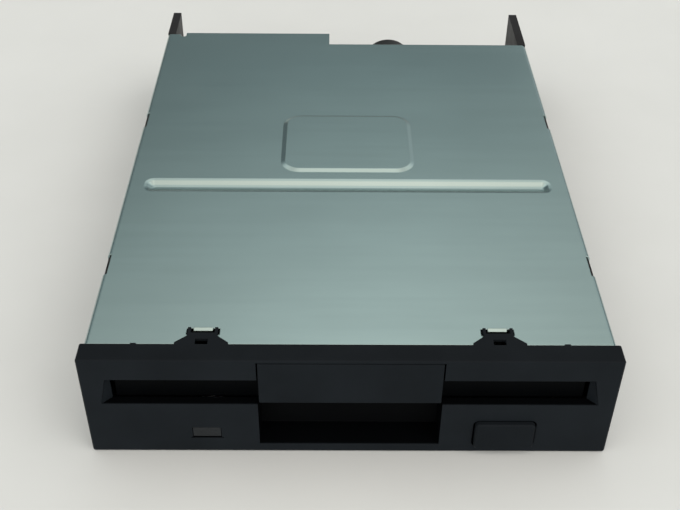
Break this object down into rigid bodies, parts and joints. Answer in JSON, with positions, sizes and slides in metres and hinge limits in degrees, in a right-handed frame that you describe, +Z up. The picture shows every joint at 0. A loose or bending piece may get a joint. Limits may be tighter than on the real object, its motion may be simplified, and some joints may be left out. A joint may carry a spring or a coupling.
{
  "type": "floppy disk drive",
  "caption": "Internal floppy disk drive: steel-topped tray with bezel, sprung door, eject button, cam-loaded disk holder, spindle and stepped heads.",
  "frame": {"origin": "bottom centre of the drive's box", "axes": "+X right seen from the bezel, +Y from the bezel to the connectors, +Z up"},
  "size_m": [0.1026, 0.147, 0.0254],
  "materials": {
    "black_resin": "moulded, fine texture",
    "cover_steel": "zinc-coated sheet, satin",
    "bezel_plastic": "fine spark texture",
    "sheet_steel": "plated sheet",
    "bright_steel": "ground and polished",
    "spring_steel": "drawn wire",
    "bronze": "sintered",
    "copper_wire": "enamelled winding",
    "core_steel": "laminated",
    "magnet": "bonded ferrite",
    "grey_resin": "glass-filled resin",
    "white_resin": "acetal",
    "ceramic": "ground ceramic",
    "can_black": "black oxide can",
    "board_green": "solder mask",
    "gold_pin": "gold flash",
    "chip": "moulded epoxy",
    "capacitor_body": "moulded epoxy",
    "lamp": "smoked lens",
    "film_cable": "polyimide film"
  },
  "bodies": {
    "chassis": {"main_frame": "black_resin", "side_rail_left": "black_resin", "side_rail_right": "black_resin", "top_cover": "cover_steel", "front_bezel": "bezel_plastic", "flap_spring": "spring_steel", "latch_spring": "spring_steel", "latch_retainer": "spring_steel", "eject_spring_left": "spring_steel", "eject_spring_right": "spring_steel", "motor_plate": "sheet_steel", "spindle_bearing": "bronze", "stator_core": "core_steel", "stator_coils": "copper_wire", "guide_rod": "bright_steel", "rod_clamps": "spring_steel", "stepper_bracket": "sheet_steel", "screw_bearing": "bronze", "stepper_can": "can_black", "control_board": "board_green", "signal_header": "black_resin", "signal_pins": "gold_pin", "power_header": "white_resin", "power_pins": "gold_pin", "controller_chip": "chip", "driver_chip": "chip", "capacitors": "capacitor_body", "activity_lamp": "lamp", "lamp_leads": "spring_steel", "sensing_switches": "black_resin", "track_sensor": "chip", "head_flex": "film_cable"},
    "slider": {"slider_plate": "sheet_steel", "eject_button": "bezel_plastic"},
    "holder": {"disk_holder": "sheet_steel", "holder_pins": "bright_steel"},
    "latch": {"latch_lever": "sheet_steel"},
    "spindle": {"spindle_shaft": "bright_steel", "rotor_cup": "sheet_steel", "rotor_magnet": "magnet", "chucking_hub": "bright_steel", "drive_pin": "bright_steel"},
    "carriage": {"head_carriage": "grey_resin", "screw_follower": "spring_steel", "lower_head": "ceramic"},
    "head_arm": {"upper_arm": "grey_resin", "upper_head": "ceramic", "arm_spring": "spring_steel"},
    "screw": {"lead_screw": "bright_steel"},
    "flap": {"door_flap": "bezel_plastic"},
    "write_protect_switch": {"write_protect_plunger": "white_resin"},
    "disk_in_switch": {"disk_in_plunger": "white_resin"},
    "density_switch": {"density_plunger": "white_resin"}
  },
  "joints": [
    {"name": "slider_travel", "type": "slide", "parent": "chassis", "child": "slider", "axis": [0, -1, 0], "range_m": [0, 0.0055], "deforming": ["eject_spring_left", "eject_spring_right"]},
    {"name": "holder_drop", "type": "slide", "parent": "chassis", "child": "holder", "axis": [0, 0, -1], "range_m": [0, 0.0024]},
    {"name": "latch_swing", "type": "hinge", "parent": "chassis", "child": "latch", "pos_m": [-0.04, 0.0335, 0.008], "axis": [0, 0, 1], "range_deg": [0, 36], "deforming": ["latch_spring"]},
    {"name": "carriage_travel", "type": "slide", "parent": "chassis", "child": "carriage", "axis": [0, -1, 0], "range_m": [0, 0.0148], "deforming": ["head_flex"]},
    {"name": "arm_pitch", "type": "hinge", "parent": "carriage", "child": "head_arm", "pos_m": [0, 0.045, 0.0166], "axis": [1, 0, 0], "range_deg": [0, 10.5]},
    {"name": "screw_spin", "type": "hinge", "parent": "chassis", "child": "screw", "pos_m": [0.0126, 0.02, 0.0131], "axis": [0, 1, 0], "range_deg": [0, 1422]},
    {"name": "spindle_spin", "type": "hinge", "parent": "chassis", "child": "spindle", "pos_m": [0, -0.0195, 0], "axis": [0, 0, 1], "continuous": true},
    {"name": "flap_swing", "type": "hinge", "parent": "chassis", "child": "flap", "pos_m": [0, -0.0691, 0.0232], "axis": [1, 0, 0], "range_deg": [0, 86], "stiffness_Nm_per_rad": 0.002, "springref_deg": -17.19, "deforming": ["flap_spring"]},
    {"name": "write_protect_press", "type": "slide", "parent": "chassis", "child": "write_protect_switch", "axis": [0, 0, -1], "range_m": [0, 0.0013], "stiffness_N_per_m": 150},
    {"name": "disk_in_press", "type": "slide", "parent": "chassis", "child": "disk_in_switch", "axis": [0, 0, -1], "range_m": [0, 0.0013], "stiffness_N_per_m": 150},
    {"name": "density_press", "type": "slide", "parent": "chassis", "child": "density_switch", "axis": [0, 0, -1], "range_m": [0, 0.0013], "stiffness_N_per_m": 150}
  ],
  "couplings": [
    {"joint": "holder_drop", "follows": "slider_travel", "ratio": 0.43636},
    {"joint": "latch_swing", "follows": "slider_travel", "rad_per_m": 114.23},
    {"joint": "arm_pitch", "follows": "slider_travel", "rad_per_m": 33.318},
    {"joint": "screw_spin", "follows": "carriage_travel", "rad_per_m": 1675.5}
  ]
}
